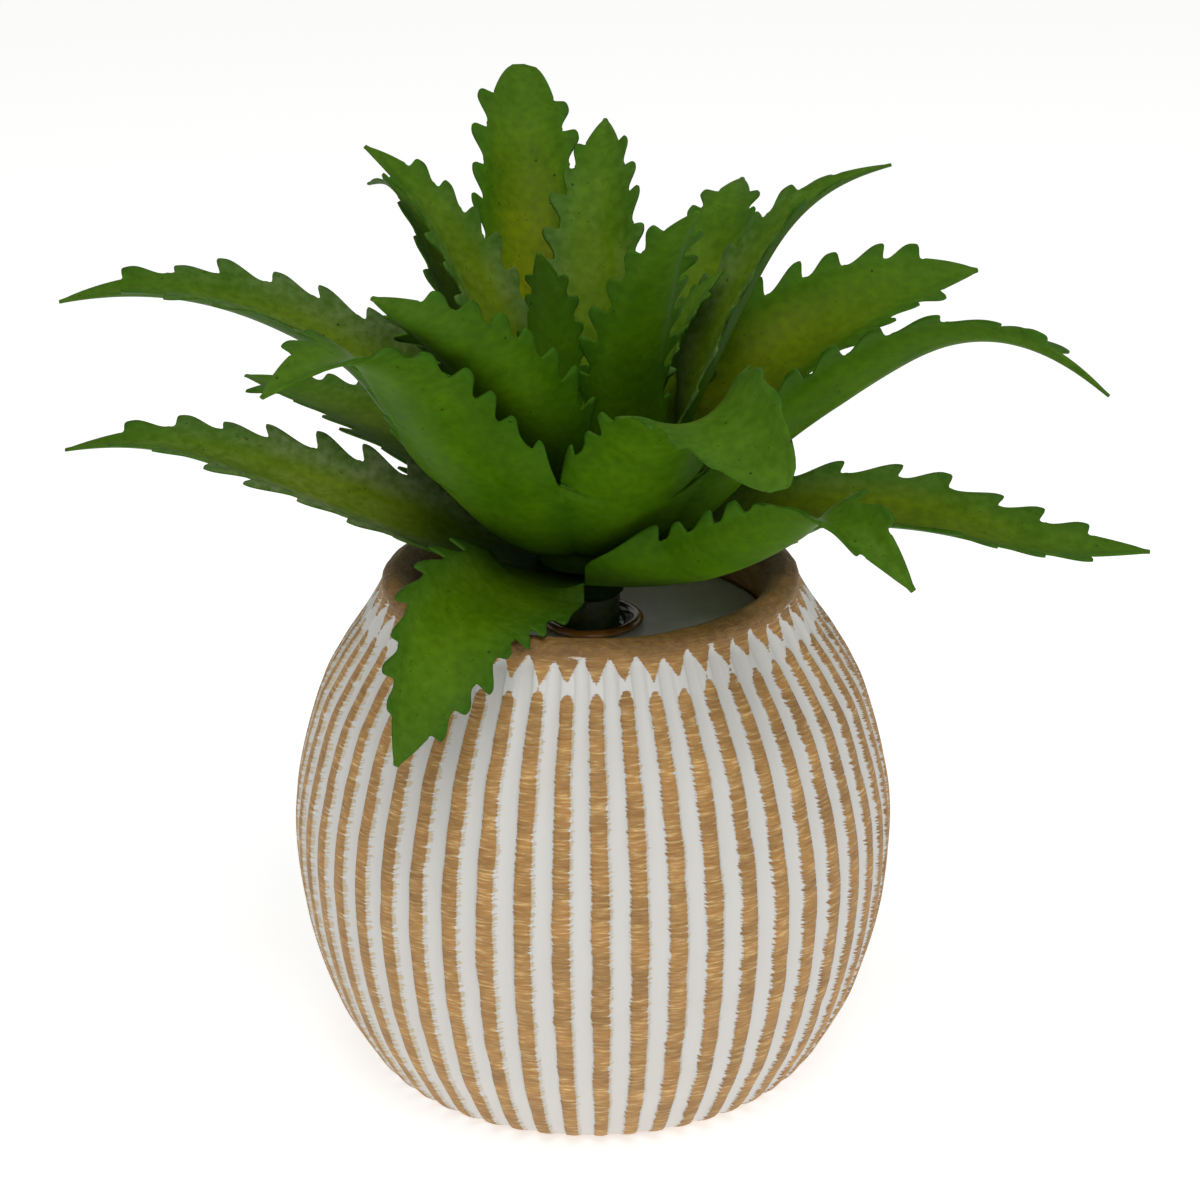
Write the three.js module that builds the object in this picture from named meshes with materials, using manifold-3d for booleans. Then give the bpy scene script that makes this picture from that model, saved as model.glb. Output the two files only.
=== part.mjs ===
// Toothed rosette succulent of moulded plastic in a ribbed barrel planter.
// Millimetres, +Z up, the origin on the pot's axis at its foot. The front of the plant faces -Y.
// Azimuths are degrees round the pot's axis: 0 points to the front (-Y) and 90 to +X.
import * as THREE from "three";
import { mergeVertices } from "three/addons/utils/BufferGeometryUtils.js";
import Module from "manifold-3d";

const wasm = await Module();
wasm.setup();

// ---------------------------------------------------------------- driving dimensions

// Pot: a barrel with sunk white grooves between raised ribs, a foot it stands on and a round lip.
const RIB_COUNT = 51;
const FIRST_RIB = 1.2;          // azimuth of the rib nearest the front
const GROOVE_DEPTH = 0.8;
const FOOT_RADIUS = 31;
const BARREL = [                // outer profile from the foot to the top of the lip: radius, height
  [34.2, 0.9], [36.6, 2.6], [39.4, 6.9], [43.6, 15.7], [47.0, 29.8], [47.5, 45.6], [43.7, 61.4],
  [39.8, 69.3], [35.7, 75.5], [32.9, 80.4], [32.3, 82.2], [30.4, 83.1],
];
const BARREL_LEVELS = [0.9, 3, 7.5, 13.5, 21, 29.5, 38, 46.5, 55, 63, 69.5, 75, 79.6, 81.8, 83.1];
const TURNED_SIDES = 36;        // facets round the hollow and the plug in it
const GROOVE_FOOT = 2;          // heights between which the grooves are at their full depth
const GROOVE_TOP = 79.5;
const CAVITY = [                // the hollow: a narrow mouth over a wide belly, 6 mm off the outside
  [0, 8], [33, 8], [37.2, 15.5], [41, 30], [41.5, 45.6], [37.8, 60], [33, 68], [28, 74], [26.3, 81.2],
  [28.4, 84], [0, 84],
];

// Plug cast in the hollow, the hole left in it and the hot glue that holds the stem there.
const GAP = 0.3;                // clearance between pieces that touch
const FILL_TOP = 73.6;
const SOCKET_RADIUS = 6.2;
const SOCKET_FOOT = 52;
const GLUE_RADIUS = 8.2;

// Stem: a thick peg up to its shoulder, then a thin one that every whorl is threaded on.
const SHANK_RADIUS = 4.6;
const SHOULDER = 78.7;
const PEG_RADIUS = 3;
const PEG_TOP = 98.9;
const BORE = PEG_RADIUS + GAP;  // hole through every whorl
const SHEET_START = 3.9;        // radius where the leaf sheet leaves the hub

// Leaves are channelled blades with hooked teeth, joined edge to edge near the hub of their whorl.
const TEETH = 7;                // on each edge
const TEETH_TO = 0.9;           // the last notch, as a part of the leaf's length
const TOOTH_HEIGHT = 0.042;     // as a part of the leaf's length
const TOOTH_HOOK = 0.032;       // how far a tooth's point leans to the leaf's tip, likewise
const WIDEST = 0.38;            // where the blade is widest
const TIP_HALF_WIDTH = 0.5;
const EDGE_THICKNESS = 0.8;
const RIDGE_THICKNESS = 1.3;
const COLUMNS = [-1, -0.55, 0, 0.55, 1];

// Each whorl: height of its sheet at the hub and its slope there; how far its leaves are joined, the
// length over which the sheet then turns into separate blades, and the first notch of their teeth,
// all as parts of the leaf's length; its hub below the sheet; and the blade that its leaves share.
// Each leaf has its own azimuth, length and angles: rise at the foot, bend over its length, curl
// from curlFrom to curlTo, sweep sideways, roll at the foot and twist up to the tip. A leaf may also
// have a blade value of its own, such as flip, a roll that comes with the curl, or toothTip, the
// size of its last teeth beside its first.
const WHORLS = {
  whorl_lower: {
    height: 82.4, slope: 12, joined: 0.2, fade: 0.16, teethFrom: 0.26, hubRadius: 5.2, hubFoot: 79,
    blade: {
      halfWidth: 8.2, foot: 0.75, point: 0.8, cup: 42, cupTip: 32,
      curlFrom: 0.63, curlTo: 1, flip: 0, toothTip: 0.7,
    },
    leaves: [
      { azimuth: 30, length: 76, rise: 14, bend: 35, curl: -92, sweep: 18, roll: -27, twist: -3,
        halfWidth: 7.7, cup: 74, cupTip: 40, flip: 92 },
      { azimuth: 95, length: 85, rise: 33, bend: -73, curl: 39, sweep: -13, roll: 6, twist: 7,
        halfWidth: 9 },
      { azimuth: 150, length: 80, rise: 22, bend: -40, curl: 0, sweep: 5, roll: 0, twist: 8 },
      { azimuth: 229, length: 80, rise: 37, bend: -52, curl: 12, sweep: -6, roll: -6, twist: 4,
        halfWidth: 8.3 },
      { azimuth: 271, length: 81, rise: 24, bend: -7, curl: -27, sweep: -7, roll: -27, twist: 28,
        halfWidth: 8.4 },
      { azimuth: 324, length: 62, rise: 8, bend: 1, curl: -37, sweep: 21, roll: -22, twist: -17,
        halfWidth: 9.2, curlFrom: 0.42, curlTo: 0.68, cup: 31 },
    ],
  },
  whorl_middle: {
    height: 87, slope: 10, joined: 0.34, fade: 0.16, teethFrom: 0.36, hubRadius: 8.3, hubFoot: 84.5,
    blade: {
      halfWidth: 9.2, foot: 0.85, point: 0.8, cup: 60, cupTip: 34,
      curlFrom: 0.6, curlTo: 1, flip: 0, toothTip: 0.7,
    },
    leaves: [
      { azimuth: 16, length: 75, rise: 54, bend: -15, curl: -71, sweep: 18, roll: -12, twist: 15,
        halfWidth: 10.9, point: 0.42, curlFrom: 0.55, cup: 76, flip: 55, toothTip: 0.1 },
      { azimuth: 68, length: 93, rise: 58, bend: -37, curl: -54, sweep: -7, roll: -11, twist: -13,
        halfWidth: 9 },
      { azimuth: 133, length: 80, rise: 57, bend: -53, curl: -3, sweep: -25, roll: 0, twist: 35,
        halfWidth: 11.2 },
      { azimuth: 185, length: 76, rise: 45, bend: -35, curl: -20, sweep: 5, roll: 0, twist: 0 },
      { azimuth: 246, length: 92, rise: 66, bend: -67, curl: -9, sweep: 32, roll: 1, twist: -4,
        halfWidth: 10.4 },
      { azimuth: 324, length: 84, rise: 46, bend: 9, curl: -71, sweep: -6, roll: 19, twist: -12,
        halfWidth: 10.5, cup: 51, flip: -18 },
    ],
  },
  whorl_upper: {
    height: 92.1, slope: 30, joined: 0.24, fade: 0.22, teethFrom: 0.3, hubRadius: 5.5, hubFoot: 88.9,
    blade: {
      halfWidth: 8.1, foot: 0.8, point: 0.8, cup: 55, cupTip: 34,
      curlFrom: 0.63, curlTo: 1, flip: 0, toothTip: 0.7,
    },
    leaves: [
      { azimuth: 19, length: 67, rise: 81, bend: -25, curl: -17, sweep: 12, roll: 3, twist: -18,
        halfWidth: 6.6 },
      { azimuth: 96, length: 71, rise: 77, bend: -28, curl: -37, sweep: 6, roll: 20, twist: -32,
        halfWidth: 8.6 },
      { azimuth: 133, length: 66, rise: 60, bend: -20, curl: -34, sweep: 35, roll: 1, twist: -3,
        halfWidth: 7.9 },
      { azimuth: 201, length: 82, rise: 56, bend: -11, curl: -14, sweep: -24, roll: 8, twist: 2,
        halfWidth: 9.3, point: 0.42 },
      { azimuth: 245, length: 67, rise: 69, bend: -15, curl: -72, sweep: -31, roll: 0, twist: 11,
        halfWidth: 6.4, curlFrom: 0.7 },
      { azimuth: 340, length: 73, rise: 68, bend: -44, curl: 4, sweep: -22, roll: 2, twist: 39 },
    ],
  },
  heart: {
    height: 97.6, slope: 45, joined: 0.2, fade: 0.22, teethFrom: 0.3, hubRadius: 5, hubFoot: 94.1,
    blade: {
      halfWidth: 5.2, foot: 0.75, point: 0.75, cup: 50, cupTip: 34,
      curlFrom: 0.63, curlTo: 1, flip: 0, toothTip: 0.7,
    },
    leaves: [
      { azimuth: 37, length: 38, rise: 77, bend: -11, curl: -15, sweep: 0, roll: 0, twist: 0 },
      { azimuth: 107, length: 36, rise: 70, bend: -8, curl: -15, sweep: 0, roll: 0, twist: 0 },
      { azimuth: 176, length: 61, rise: 73, bend: -30, curl: -18, sweep: -1, roll: -3, twist: -4,
        halfWidth: 7.7 },
      { azimuth: 246, length: 60, rise: 77, bend: -27, curl: -16, sweep: 6, roll: -16, twist: 3,
        halfWidth: 6.8 },
      { azimuth: 307, length: 39, rise: 83, bend: 18, curl: -30, sweep: 15, roll: 7, twist: 13,
        halfWidth: 5.7 },
    ],
  },
};

// ---------------------------------------------------------------- solids and their joins

const radians = THREE.MathUtils.degToRad;
const lerp = THREE.MathUtils.lerp;
const ease = (x) => THREE.MathUtils.smoothstep(x, 0, 1);

/** A geometry from a flat list of coordinates and a list of triangles. */
function geometryOf(positions, triangles) {
  const geometry = new THREE.BufferGeometry();
  geometry.setAttribute("position", new THREE.Float32BufferAttribute(positions, 3));
  geometry.setIndex(triangles);
  return geometry;
}

/** A solid for joining and cutting, from a closed geometry. */
function toManifold(geometry) {
  const bare = geometry.clone();
  bare.deleteAttribute("normal");
  bare.deleteAttribute("uv");
  const merged = mergeVertices(bare, 1e-4);
  return new wasm.Manifold(new wasm.Mesh({
    numProp: 3,
    vertProperties: new Float32Array(merged.attributes.position.array),
    triVerts: new Uint32Array(merged.index.array),
  }));
}

function toGeometry(manifold) {
  const mesh = manifold.getMesh();
  return geometryOf(Array.from(mesh.vertProperties), Array.from(mesh.triVerts));
}

/** A solid of revolution about Z whose profile of [radius, height] runs from the foot upwards. */
function turned(profile, segments) {
  const points = profile.map(([radius, height]) => new THREE.Vector2(radius, height));
  return new THREE.LatheGeometry(points, segments).rotateX(Math.PI / 2);
}

/** A turned ring: its profile runs round the section and closes on itself. */
function turnedRing(profile, segments) {
  return turned([...profile, profile[0]], segments);
}

function piece(name, geometry, material) {
  const mesh = new THREE.Mesh(geometry, material);
  mesh.name = name;
  return mesh;
}

// ---------------------------------------------------------------- pot

/** Radius of the barrel at a height, on a smooth curve through its profile. */
const barrelCurve = new THREE.SplineCurve(BARREL.map(([r, z]) => new THREE.Vector2(r, z)));
const barrelPoints = barrelCurve.getPoints(400);
function barrelRadius(height) {
  const above = Math.max(barrelPoints.findIndex((point) => point.y >= height), 1);
  const [a, b] = [barrelPoints[above - 1], barrelPoints[above]];
  return lerp(a.x, b.x, (height - a.y) / (b.y - a.y));
}

/** The ribbed barrel: each rib has two edges on the barrel and one line sunk in the groove. */
function barrel() {
  const around = 3 * RIB_COUNT;
  const edge = [-0.22, 0.22, 0.5];
  const positions = [];
  const triangles = [];
  const addRing = (height, radius, depth) => {
    for (let i = 0; i < around; i++) {
      const azimuth = radians(FIRST_RIB + (360 / RIB_COUNT) * (Math.floor(i / 3) + edge[i % 3]));
      const r = i % 3 === 2 ? radius - depth : radius;
      positions.push(r * Math.sin(azimuth), -r * Math.cos(azimuth), height);
    }
  };
  addRing(0, FOOT_RADIUS, 0);
  for (const height of BARREL_LEVELS) {
    const fade = ease(height / GROOVE_FOOT) * (1 - ease((height - GROOVE_TOP + 2) / 2));
    addRing(height, barrelRadius(height), GROOVE_DEPTH * fade);
  }
  const rings = BARREL_LEVELS.length + 1;
  const foot = positions.length / 3;
  positions.push(0, 0, 0, 0, 0, BARREL_LEVELS.at(-1));
  for (let i = 0; i < around; i++) {
    const next = (i + 1) % around;
    for (let ring = 0; ring < rings - 1; ring++) {
      const [a, b] = [ring * around + i, ring * around + next];
      triangles.push(a, b, b + around, a, b + around, a + around);
    }
    const top = (rings - 1) * around;
    triangles.push(foot, next, i, foot + 1, top + i, top + next);
  }
  return geometryOf(positions, triangles);
}

function pot() {
  return toGeometry(toManifold(barrel()).subtract(toManifold(turned(CAVITY, TURNED_SIDES))));
}

// ---------------------------------------------------------------- plug, glue and stem

/** The plug fills the hollow to just under the mouth and leaves a socket for the stem. */
function fill() {
  const inner = CAVITY.filter(([radius, height]) => radius > 0 && height < FILL_TOP);
  const [low, high] = [inner.at(-1), CAVITY.find(([, height]) => height > FILL_TOP)];
  const mouth = lerp(low[0], high[0], (FILL_TOP - low[1]) / (high[1] - low[1]));
  const wall = [...inner, [mouth, FILL_TOP]].map(([radius, height], i) =>
    [radius - GAP, i === 0 ? height + GAP : height]);
  return turned([
    [0, wall[0][1]], ...wall, [SOCKET_RADIUS, FILL_TOP], [SOCKET_RADIUS, SOCKET_FOOT], [0, SOCKET_FOOT],
  ], TURNED_SIDES);
}

/** Hot glue round the shank: it fills the socket, dishes in the middle and beads over the rim. */
function glue() {
  const inner = SHANK_RADIUS + GAP;
  const outer = SOCKET_RADIUS - GAP;
  const seat = FILL_TOP + GAP;
  return turnedRing([
    [inner, SOCKET_FOOT + 6], [outer, SOCKET_FOOT + 6], [outer, seat], [GLUE_RADIUS - 0.3, seat],
    [GLUE_RADIUS, seat + 0.3], [GLUE_RADIUS - 0.5, seat + 0.9], [outer + 0.4, seat + 0.9],
    [outer - 0.3, seat - 0.6], [inner, seat - 1.6],
  ], 24);
}

/** The peg that the whorls are threaded on, with its shoulder under the lowest. */
function stem() {
  return turned([
    [0, SOCKET_FOOT + GAP], [SHANK_RADIUS, SOCKET_FOOT + GAP], [SHANK_RADIUS, SHOULDER],
    [PEG_RADIUS, SHOULDER], [PEG_RADIUS, PEG_TOP], [0, PEG_TOP],
  ], 24);
}

// ---------------------------------------------------------------- leaves

/** Unit vector at an azimuth and an elevation, both in radians. */
function heading(azimuth, elevation) {
  const flat = Math.cos(elevation);
  return new THREE.Vector3(Math.sin(azimuth) * flat, -Math.cos(azimuth) * flat, Math.sin(elevation));
}

/** The midrib: its point at t from 0 to 1, with the blade's sideways and upward unit vectors there. */
function midrib(leaf, whorl) {
  const steps = 96;
  const curled = (t) => ease((t - leaf.curlFrom) / (leaf.curlTo - leaf.curlFrom));
  const azimuthAt = (t) => radians(leaf.azimuth + leaf.sweep * t);
  const elevationAt = (t) => {
    const own = leaf.rise + leaf.bend * t + leaf.curl * curled(t);
    return radians(lerp(whorl.slope, own, ease(t / 0.25)));
  };
  const points = [heading(azimuthAt(0), 0).multiplyScalar(SHEET_START).setZ(whorl.height)];
  for (let i = 0; i < steps; i++) {
    const t = (i + 0.5) / steps;
    const step = heading(azimuthAt(t), elevationAt(t)).multiplyScalar(leaf.length / steps);
    points.push(points[i].clone().add(step));
  }
  return (t) => {
    const i = Math.min(Math.floor(t * steps), steps - 1);
    const point = points[i].clone().lerp(points[i + 1], t * steps - i);
    const along = heading(azimuthAt(t), elevationAt(t));
    const side = heading(azimuthAt(t) + Math.PI / 2, 0);
    const up = along.clone().cross(side);
    const roll = radians(leaf.roll + leaf.twist * t + leaf.flip * curled(t));
    side.applyAxisAngle(along, roll);
    up.applyAxisAngle(along, roll);
    return { point, side, up };
  };
}

/** Half width of the blade at t: wide at the foot, widest at WIDEST, then down to the tip. */
function halfWidthAt(leaf, t) {
  const swell = leaf.foot + (1 - leaf.foot) * Math.sin((Math.PI / 2) * Math.min(t / WIDEST, 1));
  const taper = Math.cos((Math.PI / 2) * Math.max((t - WIDEST) / (1 - WIDEST), 0));
  return Math.max(leaf.halfWidth * swell * Math.max(taper, 0) ** leaf.point, TIP_HALF_WIDTH);
}

/**
 * A point of the leaf's middle surface. t runs from foot to tip and u from -1 to 1 across. The blade's
 * section is an arc of cup degrees each side of the midrib. Where the leaves are joined, the section
 * follows the whorl round its axis from seam to seam, at heights that grow from the midrib's to the
 * blade's own, and the two forms blend over the whorl's fade.
 */
function leafPoint(leaf, whorl, t, u, tooth = 0) {
  const { point, side, up } = leaf.midrib(t);
  const cup = radians(lerp(leaf.cup, leaf.cupTip, t));
  const scale = (halfWidthAt(leaf, t) + tooth) / cup;
  const lift = scale * (1 - Math.cos(cup * u));
  const blade = point.clone().addScaledVector(side, scale * Math.sin(cup * u)).addScaledVector(up, lift);
  const joined = 1 - ease((t - whorl.joined) / whorl.fade);
  if (joined === 0) return blade;
  const here = THREE.MathUtils.radToDeg(Math.atan2(point.x, -point.y));
  const azimuth = leaf.azimuth + THREE.MathUtils.euclideanModulo(here - leaf.azimuth + 180, 360) - 180;
  const reach = u > 0 ? leaf.seamAfter - azimuth : azimuth - leaf.seamBefore;
  const sheet = heading(radians(azimuth + u * reach), 0)
    .multiplyScalar(Math.hypot(point.x, point.y))
    .setZ(lerp(point.z, blade.z, ease(t / (whorl.joined + whorl.fade))));
  return blade.lerp(sheet, joined);
}

/** The middle surface's normal, on the leaf's upper side. */
function leafNormal(leaf, whorl, t, u) {
  const d = 0.01;
  const [low, high] = [Math.max(t - d, 0), Math.min(t + d, 1)];
  const [left, right] = [Math.max(u - d, -1), Math.min(u + d, 1)];
  const along = leafPoint(leaf, whorl, high, u).sub(leafPoint(leaf, whorl, low, u));
  const across = leafPoint(leaf, whorl, t, right).sub(leafPoint(leaf, whorl, t, left));
  return along.cross(across).normalize();
}

/** Rows of a leaf from foot to tip: its t, its tooth's height and the lean of the tooth's point. */
function leafRows(leaf, whorl) {
  const rows = [0, 1, 2, 3].map((i) => ({ t: (whorl.joined * i) / 3, height: 0, hook: 0 }));
  const pitch = (TEETH_TO - whorl.teethFrom) / TEETH;
  for (let i = 0; i < TEETH; i++) {
    const notch = whorl.teethFrom + i * pitch;
    const size = lerp(1, leaf.toothTip, i / TEETH);
    rows.push({ t: notch, height: 0, hook: 0 });
    rows.push({ t: notch + 0.6 * pitch, height: size * TOOTH_HEIGHT, hook: size * TOOTH_HOOK });
  }
  for (const t of [TEETH_TO, 0.96, 1]) rows.push({ t, height: 0, hook: 0 });
  return rows;
}

/** One moulded sheet of leaves round the axis, with neighbours sharing their edges up to the notch. */
function sheetOfLeaves(whorl) {
  const leaves = whorl.leaves.map((own) => ({ ...whorl.blade, ...own }));
  leaves.forEach((leaf, i) => {
    const after = leaves[(i + 1) % leaves.length].azimuth;
    const before = leaves.at(i - 1).azimuth;
    leaf.seamAfter = leaf.azimuth + THREE.MathUtils.euclideanModulo(after - leaf.azimuth, 360) / 2;
    leaf.seamBefore = leaf.azimuth - THREE.MathUtils.euclideanModulo(leaf.azimuth - before, 360) / 2;
    leaf.midrib = midrib(leaf, whorl);
  });
  const last = COLUMNS.length - 1;
  const positions = [];
  const addPair = (point, normal, thickness) => {
    const top = point.clone().addScaledVector(normal, thickness / 2);
    const bottom = point.clone().addScaledVector(normal, -thickness / 2);
    positions.push(...top.toArray(), ...bottom.toArray());
    return positions.length / 3 - 2;
  };
  const isJoined = (row) => row.t <= whorl.joined + 1e-9;
  // The seam after each leaf is the mean of the two leaves' edges.
  const seamPoint = leaves.map((leaf, i) => leafRows(leaf, whorl).filter(isJoined).map(({ t }) => {
    const next = leaves[(i + 1) % leaves.length];
    return {
      point: leafPoint(leaf, whorl, t, 1).lerp(leafPoint(next, whorl, t, -1), 0.5),
      normal: leafNormal(leaf, whorl, t, 1).lerp(leafNormal(next, whorl, t, -1), 0.5).normalize(),
    };
  }));
  const seam = seamPoint.map((line) => line.map((at) => addPair(at.point, at.normal, EDGE_THICKNESS)));
  const grids = leaves.map((leaf, i) => {
    const previous = (i + leaves.length - 1) % leaves.length;
    return leafRows(leaf, whorl).map((row, r) => COLUMNS.map((u, c) => {
      if (isJoined(row) && c === last) return seam[i][r];
      if (isJoined(row) && c === 0) return seam[previous][r];
      const edge = Math.abs(u) === 1 ? 1 : 0;
      const t = Math.min(row.t + row.hook * edge, 1);
      const point = leafPoint(leaf, whorl, t, u, row.height * leaf.length * edge);
      if (isJoined(row) && u !== 0) {
        const shared = u > 0 ? seamPoint[i][r].point : seamPoint[previous][r].point;
        point.addScaledVector(shared.clone().sub(leafPoint(leaf, whorl, row.t, Math.sign(u))), u * u);
      }
      const thickness = lerp(RIDGE_THICKNESS, EDGE_THICKNESS, Math.max(u * u, row.t));
      return addPair(point, leafNormal(leaf, whorl, t, u), thickness);
    }));
  });
  const triangles = [];
  const quad = (a, b, c, d) => triangles.push(a, b, c, a, c, d);
  const joinedRows = seam[0].length;
  for (const grid of grids) {
    for (let r = 0; r < grid.length - 1; r++) {
      for (let c = 0; c < last; c++) {
        const [a, b, d, e] = [grid[r][c], grid[r + 1][c], grid[r + 1][c + 1], grid[r][c + 1]];
        quad(a, b, d, e);
        triangles.push(a + 1, d + 1, b + 1, a + 1, e + 1, d + 1);
      }
      if (r + 1 < joinedRows) continue;
      const [left, leftNext] = [grid[r][0], grid[r + 1][0]];
      const [right, rightNext] = [grid[r][last], grid[r + 1][last]];
      quad(leftNext, left, left + 1, leftNext + 1);
      quad(right, rightNext, rightNext + 1, right + 1);
    }
    for (let c = 0; c < last; c++) {
      const [foot, footNext] = [grid[0][c], grid[0][c + 1]];
      const [tip, tipNext] = [grid.at(-1)[c], grid.at(-1)[c + 1]];
      quad(foot, footNext, footNext + 1, foot + 1);
      quad(tipNext, tip, tip + 1, tipNext + 1);
    }
  }
  return geometryOf(positions, triangles);
}

/** A whorl: its sheet of leaves on a short bored hub. */
function whorlOf(whorl) {
  const middleAt = (radius) => whorl.height + (radius - SHEET_START) * Math.tan(radians(whorl.slope));
  const bossRadius = SHEET_START + 1;
  const hub = turnedRing([
    [BORE, whorl.hubFoot], [whorl.hubRadius, whorl.hubFoot], [whorl.hubRadius, middleAt(whorl.hubRadius)],
    [bossRadius, middleAt(bossRadius)], [bossRadius, whorl.height + 1.6], [BORE, whorl.height + 1.6],
  ], 24);
  return toGeometry(toManifold(sheetOfLeaves(whorl)).add(toManifold(hub)));
}

// ---------------------------------------------------------------- the object

const paintedCement = new THREE.MeshStandardMaterial({ color: 0xb79a72, roughness: 0.7 });
const castPlug = new THREE.MeshStandardMaterial({ color: 0xa9aaa6, roughness: 0.5 });
const hotGlue = new THREE.MeshStandardMaterial({ color: 0x9a6a34, roughness: 0.25 });
const stemPlastic = new THREE.MeshStandardMaterial({ color: 0x4c6b1f, roughness: 0.55 });
const LEAF_COLOURS = {
  whorl_lower: 0x2f6d14, whorl_middle: 0x35761a, whorl_upper: 0x3f7d1a, heart: 0x4b8420,
};

const plant = new THREE.Group();
plant.name = "plant";
plant.add(piece("stem", stem(), stemPlastic));
for (const [name, whorl] of Object.entries(WHORLS)) {
  const leafPlastic = new THREE.MeshStandardMaterial({ color: LEAF_COLOURS[name], roughness: 0.5 });
  plant.add(piece(name, whorlOf(whorl), leafPlastic));
}

const planter = new THREE.Group();
planter.name = "planter";
planter.add(piece("pot", pot(), paintedCement));
planter.add(piece("fill", fill(), castPlug));
planter.add(piece("glue", glue(), hotGlue));

const pottedSucculent = new THREE.Group();
pottedSucculent.name = "potted_succulent";
pottedSucculent.add(planter, plant);

export default pottedSucculent;
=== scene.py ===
import bpy
import numpy as np
from mathutils import Matrix


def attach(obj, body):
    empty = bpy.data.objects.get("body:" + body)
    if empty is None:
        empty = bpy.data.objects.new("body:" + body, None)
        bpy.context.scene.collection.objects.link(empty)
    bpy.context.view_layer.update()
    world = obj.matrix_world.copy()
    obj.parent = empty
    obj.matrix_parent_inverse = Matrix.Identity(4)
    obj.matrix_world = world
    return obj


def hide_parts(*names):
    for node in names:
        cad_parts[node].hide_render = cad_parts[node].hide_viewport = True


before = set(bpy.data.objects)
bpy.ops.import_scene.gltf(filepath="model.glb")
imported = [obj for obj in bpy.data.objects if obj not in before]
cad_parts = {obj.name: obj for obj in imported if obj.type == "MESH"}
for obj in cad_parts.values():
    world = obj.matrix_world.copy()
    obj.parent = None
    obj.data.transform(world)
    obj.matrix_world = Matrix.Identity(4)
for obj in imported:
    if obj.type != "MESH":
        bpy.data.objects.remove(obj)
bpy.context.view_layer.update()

# ---------------------------------------------------------------- pot
# The planter is cast cement, turned to a barrel with 51 ribs. The whole is dipped white, then the
# ribs and the lip are brushed over in gold-brown, so the brush leaves streaks across each rib, a
# frayed edge on one side of it and white in the grooves. It stands on its flat foot.

RIB_COUNT = 51
RIB_PITCH = 5.9                 # mm round the belly
FIRST_RIB = 1.2                 # azimuth in degrees of the rib nearest the front
GROOVE_DEPTH = 0.8
GROOVE_EDGE = 0.22              # from the middle of a rib to the groove's side, in parts of the pitch
GROOVE_STEP = 0.55              # share of the depth that the groove's side takes, the scoop has the rest
CREST_RISE = 0.06               # mm, how far the crest of a rib is rounded up
POT_FOOT = np.array([[16, 0], [30.4, 0.0], [32.4, 0.15]])
OUTSIDE_ROWS = 108
BARREL = np.array([             # outside, foot to lip: radius, height in mm
    [34.2, 0.9], [36.6, 2.6], [39.4, 6.9], [43.6, 15.7], [47.0, 29.8], [47.5, 45.6], [43.7, 61.4],
    [39.8, 69.3], [35.7, 75.5], [32.9, 80.4], [32.3, 82.2], [30.4, 83.1],
])
POT_LIP = np.array([            # over the lip and down the inner wall to the floor of the hollow
    [29.9, 82.95], [29.2, 82.7], [28.5, 82.2], [27.8, 81.5], [27.2, 80.5], [26.9, 79.2], [27.0, 77.2],
    [27.9, 74.4], [30.0, 71.6], [33.0, 68.0], [37.8, 60.0], [41.5, 45.6], [41.0, 30.0], [37.2, 15.5],
    [33.0, 8.0], [16.0, 8.0],
])
RIB_COLUMNS = np.array([        # columns of points over a rib and its groove, in parts of the pitch
    -0.275, -0.235, -0.205, -0.1, 0.0, 0.1, 0.205, 0.235, 0.275, 0.35, 0.43, 0.52, 0.61,
])
RIDGE_HALF = 0.235              # half of a rib's painted crest, as a part of the pitch
TIP_HEIGHT = 80.8               # where the white grooves end in points
TIP_LENGTH = 3.3                # mm over which a groove narrows to its point
TIP_WANDER = 0.35               # mm, how unevenly the brown and the white end
LIP_ROUGH = 0.1                 # mm, lumps on the lip
LIP_WAVE = 0.22                 # mm, rise and fall of the lip
BAND = (76.3, 77.3)             # the plain white band that crosses the ribs
RIB_BROWN = "#ba9054"
RIB_DARK = "#986c34"
RIB_LIGHT = "#dcbc7c"
GROOVE_WHITE = "#d1cfcb"
GROOVE_STAIN = "#c8c3b8"
FRINGE_CREAM = "#d2c3a2"
LIP_BROWN = "#71501f"
LIP_PIT = "#9a7434"
# Noise cells a metre and how they are drawn out, level and upwards: brush streaks of 2.6 by 0.3 mm,
# broad marks of 11 by 4 mm, stains of 17 mm and pits of 1.3 mm.
STREAKS, STREAK_SHAPE = 900.0, (0.42, 0.42, 3.6)
MARKS, MARK_SHAPE = 260.0, (0.35, 0.35, 1.0)
STAINS = 60.0
PITS = 750.0


def linear(hex_colour):
    """An sRGB hex colour as linear red, green, blue and alpha."""
    c = np.array([int(hex_colour[i:i + 2], 16) for i in (1, 3, 5)]) / 255
    return (*np.where(c <= 0.04045, c / 12.92, ((c + 0.055) / 1.055) ** 2.4), 1.0)


def ease(x):
    """Smooth step: 0 below 0, 1 above 1, and 3x^2 - 2x^3 between."""
    x = np.clip(x, 0, 1)
    return x * x * (3 - 2 * x)


def waves(seed, count, lowest, highest, *coordinates):
    """Smooth noise from -1 to 1: a sum of count sine waves of random direction, wave number between
    lowest and highest, and phase, over any number of coordinates."""
    rng = np.random.default_rng(seed)
    total = 0
    for _ in range(count):
        way = rng.normal(size=len(coordinates))
        way *= rng.uniform(lowest, highest) / np.linalg.norm(way)
        total = total + np.sin(sum(w * c for w, c in zip(way, coordinates)) + rng.uniform(0, 2 * np.pi))
    return total / np.sqrt(2 * count)


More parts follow.
